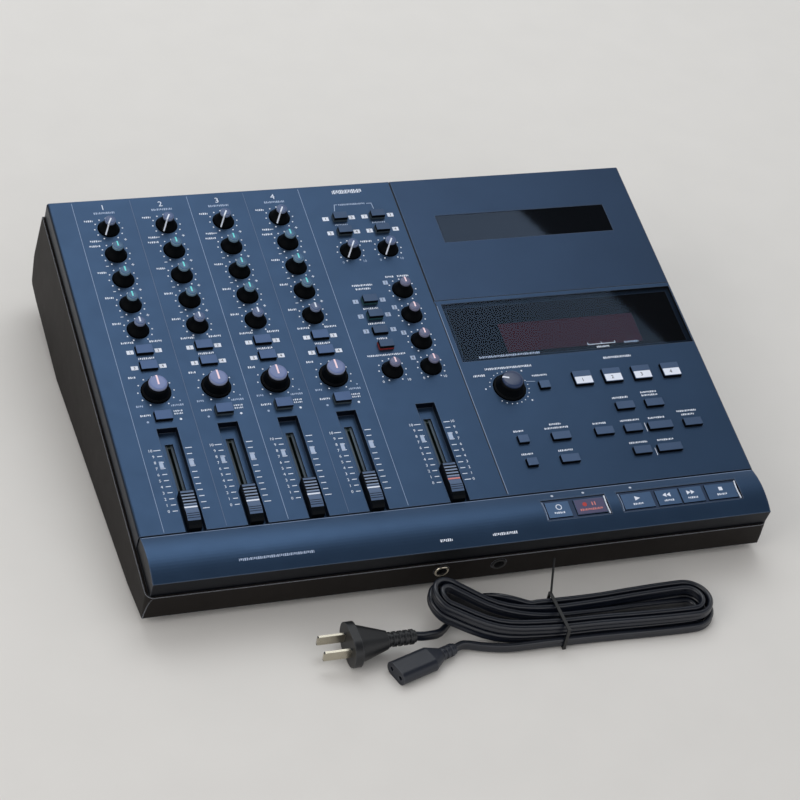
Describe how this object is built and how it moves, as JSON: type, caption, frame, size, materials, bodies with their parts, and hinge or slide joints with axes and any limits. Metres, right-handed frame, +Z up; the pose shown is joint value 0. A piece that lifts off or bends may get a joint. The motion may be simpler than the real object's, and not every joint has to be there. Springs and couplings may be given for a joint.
{
  "type": "four track cassette recorder",
  "caption": "Tabletop tape recorder and mixer with a tilted control panel, rotary knobs, sliding faders, push buttons, a hinged cassette lid and a bundled mains cord.",
  "frame": {"origin": "bottom centre of the recorder, on the table under the feet; the cord is left out of it", "axes": "+X to the right seen from the front, +Y to the back, +Z up"},
  "size_m": [0.4038, 0.3753, 0.0997],
  "materials": {
    "case": "satin",
    "panel": "satin",
    "fascia": "satin",
    "lid": "satin",
    "window": "gloss",
    "knob": "matte",
    "fader": "satin",
    "button": "satin",
    "transport_button": "satin",
    "board": "satin",
    "mechanism": "brushed",
    "supply": "satin",
    "socket": "polished",
    "foot": "matte",
    "reel": "satin",
    "flywheel": "satin",
    "cord": "matte",
    "plug": "satin",
    "tie": "satin"
  },
  "bodies": {
    "recorder": {"lower_case": "case", "top_panel": "panel", "front_fascia": "fascia", "display_window": "window", "circuit_boards": "board", "tape_mechanism": "mechanism", "power_supply": "supply", "jack_sockets": "socket", "feet": "foot", "mains_plug": "plug", "mains_connector": "plug", "cord_leads": "cord", "cord_hank": "cord", "cord_tie": "tie"},
    "lid": {"cassette_lid": "lid", "lid_window": "window"},
    "fader_1": {"fader_1": "fader"},
    "fader_2": {"fader_2": "fader"},
    "fader_3": {"fader_3": "fader"},
    "fader_4": {"fader_4": "fader"},
    "fader_master": {"fader_master": "fader"},
    "channel_buttons": {"channel_buttons": "button"},
    "master_buttons": {"master_buttons": "button"},
    "deck_buttons": {"deck_buttons": "button"},
    "transport_buttons": {"transport_buttons": "transport_button"},
    "capstan_flywheel": {"capstan_flywheel": "flywheel"},
    "reel_supply": {"reel_supply": "reel"},
    "reel_takeup": {"reel_takeup": "reel"},
    "knob_gain_1": {"knob_gain_1": "knob"},
    "knob_gain_2": {"knob_gain_2": "knob"},
    "knob_gain_3": {"knob_gain_3": "knob"},
    "knob_gain_4": {"knob_gain_4": "knob"},
    "knob_high_1": {"knob_high_1": "knob"},
    "knob_high_2": {"knob_high_2": "knob"},
    "knob_high_3": {"knob_high_3": "knob"},
    "knob_high_4": {"knob_high_4": "knob"},
    "knob_mid_1": {"knob_mid_1": "knob"},
    "knob_mid_2": {"knob_mid_2": "knob"},
    "knob_mid_3": {"knob_mid_3": "knob"},
    "knob_mid_4": {"knob_mid_4": "knob"},
    "knob_low_1": {"knob_low_1": "knob"},
    "knob_low_2": {"knob_low_2": "knob"},
    "knob_low_3": {"knob_low_3": "knob"},
    "knob_low_4": {"knob_low_4": "knob"},
    "knob_aux_1": {"knob_aux_1": "knob"},
    "knob_aux_2": {"knob_aux_2": "knob"},
    "knob_aux_3": {"knob_aux_3": "knob"},
    "knob_aux_4": {"knob_aux_4": "knob"},
    "knob_pan_1": {"knob_pan_1": "knob"},
    "knob_pan_2": {"knob_pan_2": "knob"},
    "knob_pan_3": {"knob_pan_3": "knob"},
    "knob_pan_4": {"knob_pan_4": "knob"},
    "knob_cue_1": {"knob_cue_1": "knob"},
    "knob_cue_2": {"knob_cue_2": "knob"},
    "knob_cue_3": {"knob_cue_3": "knob"},
    "knob_cue_4": {"knob_cue_4": "knob"},
    "knob_aux_return_1": {"knob_aux_return_1": "knob"},
    "knob_aux_return_2": {"knob_aux_return_2": "knob"},
    "knob_monitor": {"knob_monitor": "knob"},
    "knob_pitch": {"knob_pitch": "knob"}
  },
  "joints": [
    {"name": "lid_hinge", "type": "hinge", "parent": "recorder", "child": "lid", "pos_m": [0.1162, 0.1321, 0.08923], "axis": [-1, 0, 0], "range_deg": [0, 75]},
    {"name": "fader_1_slide", "type": "slide", "parent": "recorder", "child": "fader_1", "axis": [0, 0.9816, 0.1908], "range_m": [0, 0.0445]},
    {"name": "fader_2_slide", "type": "slide", "parent": "recorder", "child": "fader_2", "axis": [0, 0.9816, 0.1908], "range_m": [0, 0.0445]},
    {"name": "fader_3_slide", "type": "slide", "parent": "recorder", "child": "fader_3", "axis": [0, 0.9816, 0.1908], "range_m": [0, 0.0445]},
    {"name": "fader_4_slide", "type": "slide", "parent": "recorder", "child": "fader_4", "axis": [0, 0.9816, 0.1908], "range_m": [0, 0.0445]},
    {"name": "fader_master_slide", "type": "slide", "parent": "recorder", "child": "fader_master", "axis": [0, 0.9816, 0.1908], "range_m": [0, 0.0445]},
    {"name": "channel_buttons_press", "type": "slide", "parent": "recorder", "child": "channel_buttons", "axis": [0, 0.1908, -0.9816], "range_m": [0, 0.0015], "stiffness_N_per_m": 400, "springref_m": -0.002},
    {"name": "master_buttons_press", "type": "slide", "parent": "recorder", "child": "master_buttons", "axis": [0, 0.1908, -0.9816], "range_m": [0, 0.0015], "stiffness_N_per_m": 400, "springref_m": -0.002},
    {"name": "deck_buttons_press", "type": "slide", "parent": "recorder", "child": "deck_buttons", "axis": [0, 0.1908, -0.9816], "range_m": [0, 0.0015], "stiffness_N_per_m": 400, "springref_m": -0.002},
    {"name": "transport_buttons_press", "type": "slide", "parent": "recorder", "child": "transport_buttons", "axis": [0, 0.1908, -0.9816], "range_m": [0, 0.0015], "stiffness_N_per_m": 400, "springref_m": -0.002},
    {"name": "capstan_flywheel_spin", "type": "hinge", "parent": "recorder", "child": "capstan_flywheel", "pos_m": [0.14896, 0.06589, 0.04988], "axis": [0, -0.1908, 0.9816], "continuous": true},
    {"name": "reel_supply_spin", "type": "hinge", "parent": "recorder", "child": "reel_supply", "pos_m": [0.09475, 0.094, 0.06247], "axis": [0, -0.1908, 0.9816], "continuous": true},
    {"name": "reel_takeup_spin", "type": "hinge", "parent": "recorder", "child": "reel_takeup", "pos_m": [0.13725, 0.094, 0.06247], "axis": [0, -0.1908, 0.9816], "continuous": true},
    {"name": "knob_gain_1_turn", "type": "hinge", "parent": "recorder", "child": "knob_gain_1", "pos_m": [-0.1657, 0.11102, 0.09023], "axis": [0, 0.1908, -0.9816], "range_deg": [0, 300]},
    {"name": "knob_gain_2_turn", "type": "hinge", "parent": "recorder", "child": "knob_gain_2", "pos_m": [-0.1277, 0.11102, 0.09023], "axis": [0, 0.1908, -0.9816], "range_deg": [0, 300]},
    {"name": "knob_gain_3_turn", "type": "hinge", "parent": "recorder", "child": "knob_gain_3", "pos_m": [-0.0897, 0.11102, 0.09023], "axis": [0, 0.1908, -0.9816], "range_deg": [0, 300]},
    {"name": "knob_gain_4_turn", "type": "hinge", "parent": "recorder", "child": "knob_gain_4", "pos_m": [-0.0517, 0.11102, 0.09023], "axis": [0, 0.1908, -0.9816], "range_deg": [0, 300]},
    {"name": "knob_high_1_turn", "type": "hinge", "parent": "recorder", "child": "knob_high_1", "pos_m": [-0.1657, 0.08991, 0.08613], "axis": [0, 0.1908, -0.9816], "range_deg": [-150, 150]},
    {"name": "knob_high_2_turn", "type": "hinge", "parent": "recorder", "child": "knob_high_2", "pos_m": [-0.1277, 0.08991, 0.08613], "axis": [0, 0.1908, -0.9816], "range_deg": [-150, 150]},
    {"name": "knob_high_3_turn", "type": "hinge", "parent": "recorder", "child": "knob_high_3", "pos_m": [-0.0897, 0.08991, 0.08613], "axis": [0, 0.1908, -0.9816], "range_deg": [-150, 150]},
    {"name": "knob_high_4_turn", "type": "hinge", "parent": "recorder", "child": "knob_high_4", "pos_m": [-0.0517, 0.08991, 0.08613], "axis": [0, 0.1908, -0.9816], "range_deg": [-150, 150]},
    {"name": "knob_mid_1_turn", "type": "hinge", "parent": "recorder", "child": "knob_mid_1", "pos_m": [-0.1657, 0.0695, 0.08216], "axis": [0, 0.1908, -0.9816], "range_deg": [-150, 150]},
    {"name": "knob_mid_2_turn", "type": "hinge", "parent": "recorder", "child": "knob_mid_2", "pos_m": [-0.1277, 0.0695, 0.08216], "axis": [0, 0.1908, -0.9816], "range_deg": [-150, 150]},
    {"name": "knob_mid_3_turn", "type": "hinge", "parent": "recorder", "child": "knob_mid_3", "pos_m": [-0.0897, 0.0695, 0.08216], "axis": [0, 0.1908, -0.9816], "range_deg": [-150, 150]},
    {"name": "knob_mid_4_turn", "type": "hinge", "parent": "recorder", "child": "knob_mid_4", "pos_m": [-0.0517, 0.0695, 0.08216], "axis": [0, 0.1908, -0.9816], "range_deg": [-150, 150]},
    {"name": "knob_low_1_turn", "type": "hinge", "parent": "recorder", "child": "knob_low_1", "pos_m": [-0.1657, 0.04937, 0.07825], "axis": [0, 0.1908, -0.9816], "range_deg": [-150, 150]},
    {"name": "knob_low_2_turn", "type": "hinge", "parent": "recorder", "child": "knob_low_2", "pos_m": [-0.1277, 0.04937, 0.07825], "axis": [0, 0.1908, -0.9816], "range_deg": [-150, 150]},
    {"name": "knob_low_3_turn", "type": "hinge", "parent": "recorder", "child": "knob_low_3", "pos_m": [-0.0897, 0.04937, 0.07825], "axis": [0, 0.1908, -0.9816], "range_deg": [-150, 150]},
    {"name": "knob_low_4_turn", "type": "hinge", "parent": "recorder", "child": "knob_low_4", "pos_m": [-0.0517, 0.04937, 0.07825], "axis": [0, 0.1908, -0.9816], "range_deg": [-150, 150]},
    {"name": "knob_aux_1_turn", "type": "hinge", "parent": "recorder", "child": "knob_aux_1", "pos_m": [-0.1657, 0.02915, 0.07432], "axis": [0, 0.1908, -0.9816], "range_deg": [-150, 150]},
    {"name": "knob_aux_2_turn", "type": "hinge", "parent": "recorder", "child": "knob_aux_2", "pos_m": [-0.1277, 0.02915, 0.07432], "axis": [0, 0.1908, -0.9816], "range_deg": [-150, 150]},
    {"name": "knob_aux_3_turn", "type": "hinge", "parent": "recorder", "child": "knob_aux_3", "pos_m": [-0.0897, 0.02915, 0.07432], "axis": [0, 0.1908, -0.9816], "range_deg": [-150, 150]},
    {"name": "knob_aux_4_turn", "type": "hinge", "parent": "recorder", "child": "knob_aux_4", "pos_m": [-0.0517, 0.02915, 0.07432], "axis": [0, 0.1908, -0.9816], "range_deg": [-150, 150]},
    {"name": "knob_pan_1_turn", "type": "hinge", "parent": "recorder", "child": "knob_pan_1", "pos_m": [-0.1657, -0.01856, 0.06504], "axis": [0, 0.1908, -0.9816], "range_deg": [-150, 150]},
    {"name": "knob_pan_2_turn", "type": "hinge", "parent": "recorder", "child": "knob_pan_2", "pos_m": [-0.1277, -0.01856, 0.06504], "axis": [0, 0.1908, -0.9816], "range_deg": [-150, 150]},
    {"name": "knob_pan_3_turn", "type": "hinge", "parent": "recorder", "child": "knob_pan_3", "pos_m": [-0.0897, -0.01856, 0.06504], "axis": [0, 0.1908, -0.9816], "range_deg": [-150, 150]},
    {"name": "knob_pan_4_turn", "type": "hinge", "parent": "recorder", "child": "knob_pan_4", "pos_m": [-0.0517, -0.01856, 0.06504], "axis": [0, 0.1908, -0.9816], "range_deg": [-150, 150]},
    {"name": "knob_cue_1_turn", "type": "hinge", "parent": "recorder", "child": "knob_cue_1", "pos_m": [0.0135, 0.04387, 0.07718], "axis": [0, 0.1908, -0.9816], "range_deg": [-150, 150]},
    {"name": "knob_cue_2_turn", "type": "hinge", "parent": "recorder", "child": "knob_cue_2", "pos_m": [0.0135, 0.02336, 0.07319], "axis": [0, 0.1908, -0.9816], "range_deg": [-150, 150]},
    {"name": "knob_cue_3_turn", "type": "hinge", "parent": "recorder", "child": "knob_cue_3", "pos_m": [0.0135, 0.00206, 0.06905], "axis": [0, 0.1908, -0.9816], "range_deg": [-150, 150]},
    {"name": "knob_cue_4_turn", "type": "hinge", "parent": "recorder", "child": "knob_cue_4", "pos_m": [0.0135, -0.01856, 0.06504], "axis": [0, 0.1908, -0.9816], "range_deg": [-150, 150]},
    {"name": "knob_aux_return_1_turn", "type": "hinge", "parent": "recorder", "child": "knob_aux_return_1", "pos_m": [-0.012, 0.07863, 0.08393], "axis": [0, 0.1908, -0.9816], "range_deg": [0, 300]},
    {"name": "knob_aux_return_2_turn", "type": "hinge", "parent": "recorder", "child": "knob_aux_return_2", "pos_m": [0.014, 0.07863, 0.08393], "axis": [0, 0.1908, -0.9816], "range_deg": [0, 300]},
    {"name": "knob_monitor_turn", "type": "hinge", "parent": "recorder", "child": "knob_monitor", "pos_m": [-0.0125, -0.01856, 0.06504], "axis": [0, 0.1908, -0.9816], "range_deg": [-150, 150]},
    {"name": "knob_pitch_turn", "type": "hinge", "parent": "recorder", "child": "knob_pitch", "pos_m": [0.0599, -0.04045, 0.06079], "axis": [0, 0.1908, -0.9816], "range_deg": [-80, 220]}
  ],
  "couplings": [
    {"joint": "reel_supply_spin", "follows": "capstan_flywheel_spin", "ratio": 0.07},
    {"joint": "reel_takeup_spin", "follows": "capstan_flywheel_spin", "ratio": 0.07}
  ]
}
